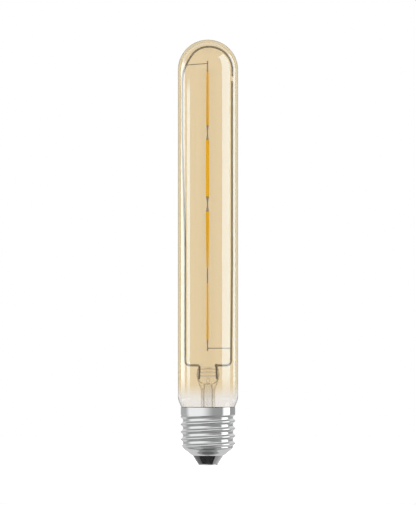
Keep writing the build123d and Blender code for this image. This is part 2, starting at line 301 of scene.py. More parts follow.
@dataclass(frozen=True)
class Metal(Finish):
    """Bare or plated metal with a grain of fine marks."""

    bright: Colour
    dull: Colour
    smooth: float
    rough: float
    grain: Grain = Grain.EVEN
    grain_scale: float = 900.0
    mark_depth: float = 0.006 * MM
    mark_strength: float = 0.35
    patch_scale: float = 180.0
    patch_share: float = 0.6

    def shade(self, graph: Graph) -> Signal:
        """Metal whose colour and gloss follow broad patches and fine marks."""
        patch = graph.noise(Grain.EVEN, self.patch_scale, BROAD_DETAIL)
        mark = graph.noise(self.grain, self.grain_scale, FINE_DETAIL)
        worn = patch * self.patch_share + mark * (1.0 - self.patch_share)
        return graph.body(
            {
                "Base Color": graph.blend(worn, self.bright, self.dull),
                "Metallic": 1.0,
                "Roughness": self.smooth + mark * (self.rough - self.smooth),
                "Normal": graph.bump(mark, self.mark_depth, self.mark_strength),
            }
        )


@dataclass(frozen=True)
class Moulded(Finish):
    """A body with no mirror gloss, such as resin, a sleeve, cement, phosphor or matt tin."""

    base: Colour
    fleck: Colour
    smooth: float
    rough: float
    grain: Grain = Grain.EVEN
    grain_scale: float = 700.0
    mark_depth: float = 0.01 * MM
    mark_strength: float = 0.4
    gloss: float = 0.5

    def colour(self, graph: Graph, mark: Signal) -> Signal:
        """The body's colour, flecked by the marks."""
        return graph.blend(mark, self.base, self.fleck)

    def shade(self, graph: Graph) -> Signal:
        """An opaque body with flecks, uneven gloss and a fine bump."""
        mark = graph.noise(self.grain, self.grain_scale, FINE_DETAIL)
        return graph.body(
            {
                "Base Color": self.colour(graph, mark),
                "Specular IOR Level": self.gloss,
                "Roughness": self.smooth + mark * (self.rough - self.smooth),
                "Normal": graph.bump(mark, self.mark_depth, self.mark_strength),
            }
        )


@dataclass(frozen=True)
class Polished(Finish):
    """Pressed glass with a mirror-smooth skin that is a little uneven."""

    base: Colour
    fleck: Colour
    grain_scale: float = 500.0
    wave_scale: float = 160.0
    wave_detail: float = 1.0
    wave_depth: float = 0.03 * MM
    wave_strength: float = 0.3

    def shade(self, graph: Graph) -> Signal:
        """A dark glossy body under a clear skin."""
        mark = graph.noise(Grain.EVEN, self.grain_scale, FINE_DETAIL)
        wave = graph.noise(Grain.EVEN, self.wave_scale, self.wave_detail)
        return graph.body(
            {
                "Base Color": graph.blend(mark, self.base, self.fleck),
                "Roughness": 0.0,
                "Specular IOR Level": 1.0,
                "Coat Weight": 1.0,
                "Coat Roughness": 0.0,
                "Normal": graph.bump(wave, self.wave_depth, self.wave_strength),
            }
        )


@dataclass(frozen=True)
class Banded(Moulded):
    """A moulded body with a band of another colour between two levels."""

    band: Colour = grey(0.5)
    band_low: float = 0.0
    band_high: float = 0.0
    band_edge: float = 0.05 * MM

    def colour(self, graph: Graph, mark: Signal) -> Signal:
        """The flecked colour, with the band laid over it."""
        height = graph.part(graph.place(), "Z")
        rise = graph.between(height, self.band_low - self.band_edge, self.band_low)
        fall = graph.between(height, self.band_high, self.band_high + self.band_edge)
        return graph.blend(rise * (1.0 - fall), super().colour(graph, mark), self.band)


@dataclass(frozen=True)
class Tracked(Moulded):
    """A circuit board's face, with straight copper tracks under its lacquer."""

    track: Colour = grey(0.5)
    track_scale: float = 420.0
    track_edge: float = 0.55
    track_blur: float = 0.05

    def colour(self, graph: Graph, mark: Signal) -> Signal:
        """The lacquer's colour, lighter over the tracks."""
        values = {"Vector": graph.place(), "Scale": self.track_scale}
        cells = graph.node("ShaderNodeTexVoronoi", {"distance": "CHEBYCHEV"}, values)
        copper = graph.between(cells, self.track_edge, self.track_edge + self.track_blur)
        return graph.blend(copper, super().colour(graph, mark), self.track)


@dataclass(frozen=True)
class Bend:
    """A tangent arc that rounds one corner of a path."""

    start: Vector
    end: Vector
    centre: Vector
    axis: Vector
    angle: float

    @classmethod
    def at(cls, before: Vector, corner: Vector, after: Vector, radius: float) -> "Bend":
        """The arc of a radius at a corner.

        Args:
            before: the path's point before the corner.
            corner: the corner itself.
            after: the path's point after the corner.
            radius: the arc's radius.

        Returns:
            The arc.
        """
        inward = (corner - before).normalized()
        outward = (after - corner).normalized()
        angle = inward.angle(outward)
        reach = radius * math.tan(angle / 2)
        axis = inward.cross(outward).normalized()
        start = corner - inward * reach
        return cls(start, corner + outward * reach, start + axis.cross(inward) * radius, axis, angle)

    def points(self, steps: int) -> list[Vector]:
        """Points along the arc, with both of its ends."""
        arm = self.start - self.centre
        turns = [Matrix.Rotation(self.angle * i / steps, 3, self.axis) for i in range(steps + 1)]
        return [self.centre + turn @ arm for turn in turns]


def bends_along(corners: list[Vector], radii: list[float]) -> list[Bend]:
    """The arcs at a path's inner corners, one radius each."""
    triples = zip(corners, corners[1:], corners[2:], radii)
    return [Bend.at(before, corner, after, radius) for before, corner, after, radius in triples]


def rounded(corners: list[Vector], radii: list[float], steps: int) -> list[Vector]:
    """A path's points, with an arc at each inner corner."""
    points = [corners[0]]
    for bend in bends_along(corners, radii):
        points += bend.points(steps)
    return points + [corners[-1]]


def quarter_turn(steps: int) -> list[float]:
    """Angles from 0 to a right angle, in even steps."""
    return [math.pi / 2 * i / steps for i in range(steps + 1)]


def profile(*points: tuple[float, float]) -> list[Vector]:
    """Points of a turned outline, from (radius, height) pairs."""
    return [Vector((radius, 0.0, height)) for radius, height in points]


class Bench:
    """Modelling steps in edit mode that shape one new mesh at a time."""

    @staticmethod
    def clear() -> None:
        """Deselects every object."""
        bpy.ops.object.select_all(action="DESELECT")

    @staticmethod
    def edit() -> None:
        """Opens the new object in edit mode with all of it selected."""
        bpy.ops.object.mode_set(mode="EDIT")
        bpy.ops.mesh.select_all(action="SELECT")

    @staticmethod
    def push(step: Vector) -> None:
        """Extrudes what is selected by a step."""
        bpy.ops.mesh.extrude_region_move(TRANSFORM_OT_translate={"value": step})

    @classmethod
    def chain(cls, points: list[Vector]) -> None:
        """Extrudes one vertex along points, and leaves the whole chain selected in edit mode."""
        cls.clear()
        bpy.ops.mesh.primitive_plane_add(size=SEED_SIZE, location=points[0])
        cls.edit()
        bpy.ops.mesh.merge(type="CENTER")
        for here, there in zip(points, points[1:]):
            cls.push(there - here)
        bpy.ops.mesh.select_all(action="SELECT")

    @staticmethod
    def cap() -> None:
        """Closes the open ends of the mesh in hand."""
        bpy.ops.mesh.select_all(action="SELECT")
        bpy.ops.mesh.fill_holes(sides=0)

    @staticmethod
    def tidy(name: str) -> Piece:
        """Merges doubles, turns faces outwards and sets the object down at the origin.

        Args:
            name: the piece's name.

        Returns:
            The finished object, out of edit mode.
        """
        bpy.ops.mesh.select_all(action="SELECT")
        bpy.ops.mesh.remove_doubles(threshold=MERGE_DISTANCE)
        bpy.ops.mesh.normals_make_consistent(inside=False)
        bpy.ops.object.mode_set(mode="OBJECT")
        bpy.ops.object.transform_apply(location=True, rotation=True, scale=True)
        piece = bpy.context.object
        piece.name = name
        piece.data.name = name
        return piece

    @classmethod
    def lathe(cls, name: str, outline: list[Vector], steps: int) -> Piece:
        """Spins an outline once about the lamp's axis."""
        cls.chain(outline)
        bpy.ops.mesh.spin(steps=steps, angle=math.tau, center=ORIGIN, axis=UP)
        return cls.tidy(name)

    @classmethod
    def wire(
        cls, name: str, corners: list[Vector], radii: list[float], radius: float, sides: int = 20
    ) -> Piece:
        """Draws a round wire along a path, straight by extrusion and round each corner by spin.

        Args:
            name: the piece's name.
            corners: the path's points.
            radii: the bend at each inner corner.
            radius: the wire's own radius.
            sides: the number of sides round the wire.

        Returns:
            The wire, closed at both ends.
        """
        cls.clear()
        heading = (corners[1] - corners[0]).to_track_quat("Z", "Y").to_euler()
        bpy.ops.mesh.primitive_circle_add(
            vertices=sides, radius=radius, location=corners[0], rotation=heading
        )
        cls.edit()
        here = corners[0]
        for bend in bends_along(corners, radii):
            cls.push(bend.start - here)
            steps = max(FEWEST_BEND_STEPS, round(math.degrees(bend.angle) / BEND_STEP))
            bpy.ops.mesh.spin(steps=steps, angle=-bend.angle, center=bend.centre, axis=bend.axis)
            here = bend.end
        cls.push(corners[-1] - here)
        cls.cap()
        piece = cls.tidy(name)
        cls.ease_edges(piece, radius * WIRE_END_ROUND)
        return piece

    @classmethod
    def tower(cls, name: str, rings: list[tuple[float, float, float]], sides: int) -> Piece:
        """Stacks elliptical rings, each extruded from the last and resized.

        Args:
            name: the piece's name.
            rings: half width, half depth and level of each ring.
            sides: the number of sides.

        Returns:
            The closed form.
        """
        cls.clear()
        width, depth, level = rings[0]
        bpy.ops.mesh.primitive_circle_add(vertices=sides, radius=1.0, location=(0.0, 0.0, level))
        cls.edit()
        bpy.ops.transform.resize(value=(width, depth, 1.0), center_override=(0.0, 0.0, level))
        for next_width, next_depth, next_level in rings[1:]:
            cls.push(Vector((0.0, 0.0, next_level - level)))
            ratio = (next_width / width, next_depth / depth, 1.0)
            bpy.ops.transform.resize(value=ratio, center_override=(0.0, 0.0, next_level))
            width, depth, level = next_width, next_depth, next_level
        cls.cap()
        return cls.tidy(name)

    @classmethod
    def use(cls, piece: Piece) -> None:
        """Makes a piece the only selected object and the active one."""
        cls.clear()
        piece.select_set(True)
        bpy.context.view_layer.objects.active = piece

    @classmethod
    def modify(cls, piece: Piece, kind: str, **settings: object) -> None:
        """Adds one modifier to a piece and applies it.

        Args:
            piece: the piece to change.
            kind: the modifier's type.
            settings: the modifier's own values.
        """
        cls.use(piece)
        bpy.ops.object.modifier_add(type=kind)
        modifier = piece.modifiers[-1]
        for name, value in settings.items():
            setattr(modifier, name, value)
        bpy.ops.object.modifier_apply(modifier=modifier.name)

    @classmethod
    def ease_edges(cls, piece: Piece, width: float, segments: int = 2) -> None:
        """Rounds a piece's sharp edges."""
        limits = {"limit_method": "ANGLE", "angle_limit": SHARP_ANGLE}
        cls.modify(piece, "BEVEL", width=width, segments=segments, **limits)

    @classmethod
    def smooth(cls, piece: Piece, angle: float = SMOOTH_ANGLE) -> None:
        """Shades a piece smooth, apart from its sharp edges."""
        cls.use(piece)
        bpy.ops.object.shade_smooth_by_angle(angle=angle)

    @classmethod
    def join(cls, pieces: list[Piece], name: str) -> Piece:
        """Joins several meshes into one piece."""
        cls.use(pieces[0])
        for piece in pieces:
            piece.select_set(True)
        bpy.ops.object.join()
        pieces[0].name = name
        pieces[0].data.name = name
        return pieces[0]


def hand_over(piece: Piece, finish: Finish, slot: str, *nodes: str) -> None:
    """Dresses a new piece and puts it on the lamp.

    Args:
        piece: the new piece.
        finish: its finish.
        slot: a material slot's name; not used.
        nodes: the solids that it stands for.
    """
    piece.data.materials.clear()
    piece.data.materials.append(finish.material())
    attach(piece, BODY)
    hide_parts(*nodes)
    LOG.info("%s: %d faces, stands for %s", piece.name, len(piece.data.polygons), ", ".join(nodes))


def redress(node: str, finish: Finish) -> None:
    """Gives a solid that stays in view a better finish."""
    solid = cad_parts[node]
    made = finish.material()
    for slot in solid.material_slots:
        slot.material = made
    LOG.info("%s: keeps its solid, dressed as %s", node, finish.name)


# Its deep amber edge colour is partly the longer path through the amber and partly painted shade at the
# rim
AMBER_GLASS = Glass(
    "amber_glass",
    tint=(0.904, 0.809, 0.645, 1.0), deep=(0.879, 0.779, 0.601, 1.0),
    clear=(0.929, 0.909, 0.884, 1.0),
    fade_low=31.0 * MM, fade_high=40.0 * MM,
    edge=(0.78, 0.58, 0.24, 1.0),
)
# Its grey edge colour is painted shade where the clear stem is seen edge on
STEM_GLASS = Glass(
    "stem_glass",
    tint=(0.99, 0.985, 0.975, 1.0), deep=(0.98, 0.975, 0.96, 1.0),
    clear=(0.99, 0.99, 0.985, 1.0),
    fade_low=0.0, fade_high=1.0 * MM,
    edge=(0.66, 0.645, 0.61, 1.0),
    edge_start=0.12, edge_full=0.42,
    index=1.4,
)
# Its faint grey edge colour is painted shade where the clear tube is seen edge on
TUBE_GLASS = Glass(
    "tube_glass",
    tint=grey(0.99), deep=(0.985, 0.985, 0.98, 1.0),
    clear=grey(0.99),
    fade_low=30.0 * MM, fade_high=46.0 * MM,
    edge=(0.93, 0.925, 0.91, 1.0),
    index=1.12,
)
ROLLED_NICKEL = Metal(
    "rolled_nickel",
    bright=(0.86, 0.865, 0.865, 1.0), dull=(0.78, 0.785, 0.79, 1.0),
    smooth=0.04, rough=0.08,
    grain=Grain.AROUND,
    mark_depth=0.003 * MM,
)
CONTACT_METAL = Metal(
    "contact_metal", bright=grey(0.9), dull=(0.78, 0.77, 0.75, 1.0), smooth=0.25, rough=0.45
)
SUPPORT_METAL = Metal(
    "support_metal",
    bright=grey(0.38), dull=grey(0.30),
    smooth=0.35, rough=0.55,
    grain=Grain.ALONG,
)
STRIP_METAL = Metal("strip_metal", bright=grey(0.5), dull=grey(0.4), smooth=0.35, rough=0.55)
MATT_TIN = Moulded(
    "matt_tin",
    base=(0.93, 0.94, 0.96, 1.0), fleck=(0.85, 0.86, 0.88, 1.0),
    smooth=0.35, rough=0.55,
    gloss=0.8,
)
BLACK_INSULATOR = Polished("black_insulator", base=grey(0.010), fleck=grey(0.022))
PHOSPHOR = Moulded(
    "phosphor",
    base=(1.0, 0.69, 0.0, 1.0), fleck=(0.94, 0.61, 0.0, 1.0),
    smooth=0.45, rough=0.7,
    grain_scale=1600.0,
    gloss=0.1,
)
CEMENT = Moulded(
    "cement",
    base=(0.62, 0.58, 0.50, 1.0), fleck=(0.44, 0.40, 0.33, 1.0),
    smooth=0.75, rough=0.95,
    mark_depth=0.06 * MM,
)
BOARD = Tracked(
    "board",
    base=(0.02, 0.16, 0.06, 1.0), fleck=(0.015, 0.12, 0.05, 1.0),
    smooth=0.3, rough=0.5,
    track=(0.06, 0.28, 0.10, 1.0),
)
PACKAGE = Moulded("package", base=grey(0.025), fleck=grey(0.05), smooth=0.45, rough=0.7)
WIRE_COVER = Moulded(
    "wire_cover", base=(0.42, 0.03, 0.02, 1.0), fleck=(0.34, 0.02, 0.015, 1.0), smooth=0.35, rough=0.5
)
CAPACITOR_SLEEVE = Banded(
    "capacitor_sleeve",
    base=(0.03, 0.04, 0.06, 1.0), fleck=(0.02, 0.03, 0.045, 1.0),
    smooth=0.25, rough=0.4,
    band=grey(0.55),
    band_low=15.2 * MM, band_high=16.4 * MM,
)
FERRITE = Banded(
    "ferrite",
    base=grey(0.05), fleck=grey(0.09),
    smooth=0.6, rough=0.85,
    band=(0.45, 0.16, 0.06, 1.0),
    band_low=10.6 * MM, band_high=15.0 * MM,
)
RESISTOR_BODY = Banded(
    "resistor_body",
    base=(0.50, 0.40, 0.26, 1.0), fleck=(0.42, 0.33, 0.21, 1.0),
    smooth=0.4, rough=0.6,
    band=(0.35, 0.06, 0.03, 1.0),
    band_low=12.2 * MM, band_high=13.0 * MM,
)


@dataclass
class GlassBulb:
    """The blown tube: a round dome, a long wall, a tapered shoulder and the narrow neck."""

    wall: float = 1.0 * MM
    taper_height: float = 3.9 * MM
    taper_bend: float = 8.0 * MM
    shoulder_overhang: float = -0.3 * MM
    shoulder_width: float = 0.8 * MM
    shoulder_drop: float = 0.3 * MM
    shoulder_lift: float = -0.1 * MM
    shoulder_wall_share: float = 0.4
    shoulder_bend: float = 0.25 * MM
    neck_taper: float = 2.4 * MM
    neck_bend: float = 1.5 * MM
    neck_radius: float = 11.4 * MM
    skirt_radius: float = 13.15 * MM
    dome_steps: int = 48
    bend_steps: int = 7
    wall_margin: float = 0.5 * MM
    around: int = 192

    def outline(self, inset: float, end: float) -> list[Vector]:
        """One wall's outline from the dome's top to the neck's end.

        Args:
            inset: how far the wall lies inside the outer one.
            end: the level where the neck stops.

        Returns:
            The outline's points.
        """
        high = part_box("glass_bulb")[1]
        cap_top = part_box("cap_shell")[1].z
        radius = high.x - inset
        base = high.z - high.x
        lift = cap_top + self.shoulder_lift + self.shoulder_wall_share * inset
        shoulder = self.skirt_radius + self.shoulder_overhang - self.shoulder_wall_share * inset
        neck = self.neck_radius - inset
        turns = [math.pi / 2 * (1 - i / self.dome_steps) for i in range(self.dome_steps)]
        dome = profile(*[(radius * math.cos(turn), base + radius * math.sin(turn)) for turn in turns])
        corners = profile(
            (radius, base),
            (radius, cap_top + self.shoulder_lift + self.taper_height),
            (shoulder, lift),
            (shoulder - self.shoulder_width, lift - self.shoulder_drop),
            (neck, lift - self.shoulder_drop - self.neck_taper),
            (neck, end),
        )
        radii = [self.taper_bend, self.shoulder_bend, self.shoulder_bend, self.neck_bend]
        wall = rounded(corners, radii, self.bend_steps)
        # Rings just inside both ends of the straight wall keep its normals level
        wall[1:1] = profile((radius, base - self.wall_margin), (radius, wall[1].z + self.wall_margin))
        return dome + wall

    def build(self) -> None:
        """Models the wall, outside and inside, and dresses it."""
        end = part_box("glass_bulb")[0].z
        outer = self.outline(0.0, end)
        inner = self.outline(self.wall, end)
        piece = Bench.lathe("bulb_glass", outer + inner[::-1], self.around)
        Bench.smooth(piece)
        hand_over(piece, AMBER_GLASS, "amber_glass", "glass_bulb")


@dataclass
class Stem:
    """The flared glass stem with its flat pinch, and the exhaust tube inside it."""

    radius: float = 3.5 * MM
    bore: float = 2.5 * MM
    bore_meniscus: float = 0.7 * MM
    # Rings of the bore's domed end, as shares of its radius and of the meniscus
    bore_end: tuple[tuple[float, float], ...] = (
        (0.12, 1.0),
        (0.45, 0.8),
        (0.7, 0.2),
        (0.85, 0.0),
        (0.96, 0.25),
        (1.0, 1.0),
    )
    flare_thickness: float = 1.0 * MM
    neck_radius: float = 11.4 * MM
    neck_wall: float = 1.0 * MM
    pinch_height: float = 11.1 * MM
    bore_rise: float = 3.0 * MM
    pinch_levels: tuple[float, ...] = (0.0, 0.27, 0.64, 1.0)
    half_widths: tuple[float, ...] = (3.5 * MM, 4.65 * MM, 5.45 * MM, 4.5 * MM)
    half_depths: tuple[float, ...] = (3.5 * MM, 2.9 * MM, 2.1 * MM, 1.2 * MM)
    crown_round: float = 0.45 * MM
    groove_levels: tuple[float, ...] = (0.6, 0.76, 0.9)
    groove_depth: float = 0.8 * MM
    groove_width: float = 0.5 * MM
    pinch_steps: int = 48
    hole_rise: float = 1.9 * MM
    hole_radius: float = 0.7 * MM
    hole_bend_share: float = 1.2
    hole_reach_share: float = 2.0
    exhaust_wall: float = 0.5 * MM
    arc_steps: int = 8
    sides: int = 72
    exhaust_sides: int = 48
    smooth_angle: float = math.radians(40.0)

    @staticmethod
    def through(levels: tuple[float, ...], values: tuple[float, ...], level: float) -> float:
        """A smooth curve's value through given points.

        Args:
            levels: where the points are, in rising order.
            values: the value at each.
            level: where to read the curve.

        Returns:
            The value there.
        """
        total = 0.0
        for i, own in enumerate(levels):
            weight = 1.0
            for j, other in enumerate(levels):
                if j != i:
                    weight *= (level - other) / (own - other)
            total += weight * values[i]
        return total

    def groove(self, level: float) -> float:
        """How deep the jaws' marks are at a share of the pinch's height."""
        steps = [(level - mark) * self.pinch_height / self.groove_width for mark in self.groove_levels]
        return self.groove_depth * sum(math.exp(-step * step) for step in steps)

    def rings(self) -> list[tuple[float, float, float]]:
        """The stem's rings, from the bore's top down and round the flare up to the crown."""
        low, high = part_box("stem")
        base = high.z - self.pinch_height
        bore_top = base + self.bore_rise
        rim = low.z
        neck_end = rim + self.flare_thickness
        bore_flare = self.neck_radius - self.bore
        outer_flare = self.neck_radius - self.neck_wall - self.radius
        quarter = quarter_turn(self.arc_steps)
        rings = [
            (share * self.bore, bore_top - drop * self.bore_meniscus) for share, drop in self.bore_end
        ]
        for turn in quarter:
            radius = self.neck_radius - bore_flare * math.cos(turn)
            rings.append((radius, rim + bore_flare * (1 - math.sin(turn))))
        rings.append((self.neck_radius, neck_end))
        for turn in reversed(quarter):
            radius = self.radius + outer_flare - outer_flare * math.cos(turn)
            rings.append((radius, neck_end + outer_flare * (1 - math.sin(turn))))
        round_rings = [(radius, radius, level) for radius, level in rings]
        top = 1.0 - self.crown_round / self.pinch_height
        for i in range(self.pinch_steps + 1):
            level = top * i / self.pinch_steps
            width = self.through(self.pinch_levels, self.half_widths, level)
            depth = self.through(self.pinch_levels, self.half_depths, level) - self.groove(level)
            round_rings.append((width, depth, base + level * self.pinch_height))
        width, depth, level = round_rings[-1]
        for turn in quarter[1:]:
            shrink = self.crown_round * (1 - math.cos(turn))
            rise = self.crown_round * math.sin(turn)
            round_rings.append((width - shrink, depth - shrink, level + rise))
        return round_rings

    def build_stem(self) -> None:
        """Models the stem and cuts its exhaust hole through the pinch's front."""
        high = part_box("stem")[1]
        piece = Bench.tower("stem_glass", self.rings(), self.sides)
        bore_top = high.z - self.pinch_height + self.bore_rise
        hole = bore_top + self.hole_rise
        front = -self.hole_reach_share * self.half_depths[1]
        corners = [
            Vector((0.0, 0.0, bore_top - self.hole_rise)),
            Vector((0.0, 0.0, hole)),
            Vector((0.0, front, hole)),
        ]
        bend = self.hole_bend_share * self.hole_radius
        cutter = Bench.wire("hole_cutter", corners, [bend], self.hole_radius)
        Bench.modify(piece, "BOOLEAN", object=cutter, operation="DIFFERENCE", solver="EXACT")
        bpy.data.objects.remove(cutter)
        Bench.smooth(piece, self.smooth_angle)
        hand_over(piece, STEM_GLASS, "clear_glass", "stem")

    def build_exhaust(self) -> None:
        """Models the exhaust tube, open at the pinch and melted shut at its tip."""
        low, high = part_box("exhaust_tube")
        radius = high.x
        bore = radius - self.exhaust_wall
        centre = low.z + radius
        quarter = quarter_turn(self.arc_steps)
        outer = [(radius * math.sin(turn), centre - radius * math.cos(turn)) for turn in quarter]
        inner = [(bore * math.sin(turn), centre - bore * math.cos(turn)) for turn in quarter]
        outline = profile(*outer, (radius, high.z), (bore, high.z), *reversed(inner))
        piece = Bench.lathe("exhaust_glass", outline, self.exhaust_sides)
        Bench.smooth(piece)
        hand_over(piece, TUBE_GLASS, "clear_glass", "exhaust_tube")

    def build(self) -> None:
        """Models and dresses both glass pieces."""
        self.build_stem()
        self.build_exhaust()


@dataclass
class ScrewCap:
    """The rolled screw shell, its black insulator and the centre contact."""

    pitch: float = 3.629 * MM
    depth: float = 1.1 * MM
    turns: float = 4.5
    start_angle: float = math.radians(150.0)
    run_in: float = 1.2 * MM
    run_out: float = 1.7 * MM
    crest_power: float = 1.8
    skirt_height: float = 3.2 * MM
    cone_height: float = 3.9 * MM
    cone_steps: int = 24
    ripple: float = 0.14 * MM
    ripple_count: float = 1.5
    cone_bulge: float = 0.35 * MM
    lip_radius: float = 7.3 * MM
    sheet: float = 0.3 * MM
    around: int = 160
    levels_per_turn: int = 28
    skirt_steps: int = 6
    insulator_foot: float = 4.75 * MM
    insulator_hole: float = 1.23 * MM
    insulator_rim: float = 2.3 * MM
    insulator_floor: float = 2.6 * MM
    floor_width: float = 1.5 * MM
    edge_round: float = 0.12 * MM
    edge_steps: int = 4
    insulator_sides: int = 96
    shank_radius: float = 1.2 * MM
    shank_bore: float = 0.6 * MM
    bore_depth: float = 3.0 * MM
    head_round: float = 0.4 * MM
    seat_round: float = 0.05 * MM
    shank_round: float = 0.1 * MM
    bore_round: float = 0.2 * MM
    contact_steps: int = 5
    contact_sides: int = 72

    @staticmethod
    def ramp(share: float) -> float:
        """A smooth step from 0 to 1."""
        held = min(max(share, 0.0), 1.0)
        return held * held * (3.0 - 2.0 * held)

    def build_shell(self) -> None:
        """Models the shell as one skin with its thread, then gives it the sheet's thickness."""
        low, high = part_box("cap_shell")
        radius = high.x
        root = radius - self.depth
        bottom = low.z + self.cone_height
        top = high.z - self.skirt_height
        steps = round(self.turns * self.levels_per_turn)
        thread = [(root, bottom + (top - bottom) * i / steps) for i in range(steps + 1)]
        cone = []
        for i in range(self.cone_steps):
            share = i / self.cone_steps
            ripple = self.ripple * math.sin(math.tau * self.ripple_count * share)
            bulge = self.cone_bulge * math.sin(math.pi * share)
            reach = self.lip_radius + (root - self.lip_radius) * share + ripple + bulge
            cone.append((reach, low.z + self.cone_height * share))
        skirt = [
            (root, top + self.skirt_height * i / self.skirt_steps) for i in range(1, self.skirt_steps + 1)
        ]
        piece = Bench.lathe("screw_shell", profile(*cone, *thread, *skirt), self.around)
        for vertex in piece.data.vertices:
            level = vertex.co.z
            if level < bottom - MERGE_DISTANCE:
                continue
            peak = radius - self.depth * (1.0 - self.ramp((level - bottom) / self.run_in))
            valley = radius - self.depth * self.ramp((top - level) / self.run_out)
            angle = self.start_angle + math.tau * (level - bottom) / self.pitch
            wave = (1.0 + math.cos(math.atan2(vertex.co.y, vertex.co.x) - angle)) / 2.0
            reach = valley + (peak - valley) * wave**self.crest_power
            scale = reach / math.hypot(vertex.co.x, vertex.co.y)
            vertex.co.x *= scale
            vertex.co.y *= scale
        Bench.modify(piece, "SOLIDIFY", thickness=self.sheet, offset=-1.0)
        Bench.smooth(piece, SHARP_ANGLE)
        hand_over(piece, ROLLED_NICKEL, "nickel_shell", "cap_shell")

    def build_insulator(self) -> None:
        """Models the insulator's outer cone, its ledge and its hole."""
        low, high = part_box("cap_insulator")
        shell_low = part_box("cap_shell")[0].z
        hole = self.insulator_hole
        floor = low.z + self.insulator_floor
        corners = profile(
            (hole, low.z),
            (self.insulator_foot, low.z),
            (self.lip_radius, shell_low),
            (high.x, high.z),
            (high.x - self.insulator_rim, high.z),
            (hole + self.floor_width, floor),
            (hole, floor),
            (hole, low.z),
        )
        radii = [2.0 * self.edge_round] + 5 * [self.edge_round]
        outline = rounded(corners, radii, self.edge_steps)
        piece = Bench.lathe("insulator_dish", outline, self.insulator_sides)
        Bench.smooth(piece)
        hand_over(piece, BLACK_INSULATOR, "black_insulator", "cap_insulator")

    def build_contact(self) -> None:
        """Models the contact: a flat head with a round edge and a hollow shank."""
        low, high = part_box("centre_contact")
        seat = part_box("cap_insulator")[0].z
        bore_end = high.z - self.bore_depth
        corners = profile(
            (0.0, low.z),
            (high.x, low.z),
            (high.x, seat),
            (self.shank_radius, seat),
            (self.shank_radius, high.z),
            (self.shank_bore, high.z),
            (self.shank_bore, bore_end),
            (0.0, bore_end),
        )
        radii = [self.head_round, self.seat_round, self.seat_round]
        radii += [self.shank_round, self.shank_round, self.bore_round]
        outline = rounded(corners, radii, self.contact_steps)
        piece = Bench.lathe("contact_button", outline, self.contact_sides)
        Bench.smooth(piece)
        hand_over(piece, CONTACT_METAL, "contact_metal", "centre_contact")

    def build(self) -> None:
        """Models and dresses the cap's pieces."""
        self.build_shell()
        self.build_insulator()
        self.build_contact()
        redress("capping_cement", CEMENT)


@dataclass
class Supports:
    """The two stiff support wires, the short stem lead and the two thin cross wires."""

    radius: float = 0.5 * MM
    lead_x: float = 4.1 * MM
    foot_x: float = 11.1 * MM
    lead_bend: float = 1.1 * MM
    foot_bend: float = 2.4 * MM
    bow_bend: float = 150.0 * MM
    left_bow_start: float = 0.39
    left_bow_end: float = 0.71
    right_lean_end: float = 0.34
    arch_slope: float = math.radians(31.0)
    slope_bend_share: float = 1.6
    crown_bend_share: float = 0.8
    crown_end: float = 0.2 * MM
    arch_flat: float = 0.65 * MM
    arch_tail: float = 3.1 * MM
    lap_overrun: float = 0.9 * MM
    cross_radius: float = 0.2 * MM
    cross_sides: int = 14

    def foot_level(self) -> float:
        """The level of the wires' outward run above the pinch."""
        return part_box("right_support_wire")[0].z + self.radius

    def build_left(self) -> None:
        """The left wire: up from the pinch, out, up the side and over the dome."""
        low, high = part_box("left_support_wire")
        left = low.x + self.radius
        shoulder = high.x - self.radius
        top = high.z - self.radius
        foot = self.foot_level()
        rise = top - foot
        slope_bend = -self.slope_bend_share * left
        crown_bend = -self.crown_bend_share * left
        arch_bend = shoulder - self.arch_flat
        crown = self.crown_end - crown_bend * math.tan((math.pi / 2 - self.arch_slope) / 2)
        slope_level = top - (crown - left) / math.tan(self.arch_slope)
        spots = [
            (-self.lead_x, low.z),
            (-self.lead_x, foot),
            (-self.foot_x, foot),
            (-self.foot_x, foot + self.left_bow_start * rise),
            (left, foot + self.left_bow_end * rise),
            (left, slope_level),
            (crown, top),
            (shoulder, top),
            (shoulder, top - arch_bend - self.arch_tail),
        ]
        bends = [self.lead_bend, self.foot_bend, self.bow_bend, self.bow_bend]
        bends += [slope_bend, crown_bend, arch_bend]
        corners = [Vector((x, 0.0, z)) for x, z in spots]
        self.finish(Bench.wire("left_support", corners, bends, self.radius), "left_support_wire")

    def build_right(self) -> None:
        """The right wire, lapped on a short lead that stands in the pinch."""
        low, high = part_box("right_support_wire")
        lap = (low.y + high.y) / 2
        side = high.x - self.radius
        foot = self.foot_level()
        lean_level = foot + self.right_lean_end * (high.z - foot)
        spots = [
            (self.lead_x - self.lap_overrun, foot),
            (self.foot_x, foot),
            (side, lean_level),
            (side, high.z),
        ]
        corners = [Vector((x, lap, z)) for x, z in spots]
        wire = Bench.wire("right_support", corners, [self.foot_bend, self.bow_bend], self.radius)
        self.finish(wire, "right_support_wire")
        low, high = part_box("right_stem_lead")
        ends = [Vector((self.lead_x, 0.0, low.z)), Vector((self.lead_x, 0.0, high.z))]
        self.finish(Bench.wire("stem_lead", ends, [], self.radius), "right_stem_lead")

    def build_cross(self, name: str, node: str, near: Side) -> None:
        """A thin wire between a support and the column.

        Args:
            name: the piece's name.
            node: the solid that it stands for.
            near: the side of the support wire that it is welded to.
        """
        low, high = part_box(node)
        inset = Vector((0.0, self.cross_radius, self.cross_radius))
        at_support = low + inset
        at_column = high - inset
        if near is Side.RIGHT:
            at_support.x, at_column.x = high.x, low.x
        wire = Bench.wire(name, [at_support, at_column], [], self.cross_radius, self.cross_sides)
        self.finish(wire, node)

    @staticmethod
    def finish(wire: Piece, node: str) -> None:
        """Smooths and dresses one wire."""
        Bench.smooth(wire)
        hand_over(wire, SUPPORT_METAL, "support_metal", node)

    def build(self) -> None:
        """Models and dresses the wires."""
        self.build_left()
        self.build_right()
        self.build_cross("top_cross", "top_cross_wire", Side.LEFT)
        self.build_cross("bottom_cross", "bottom_cross_wire", Side.RIGHT)


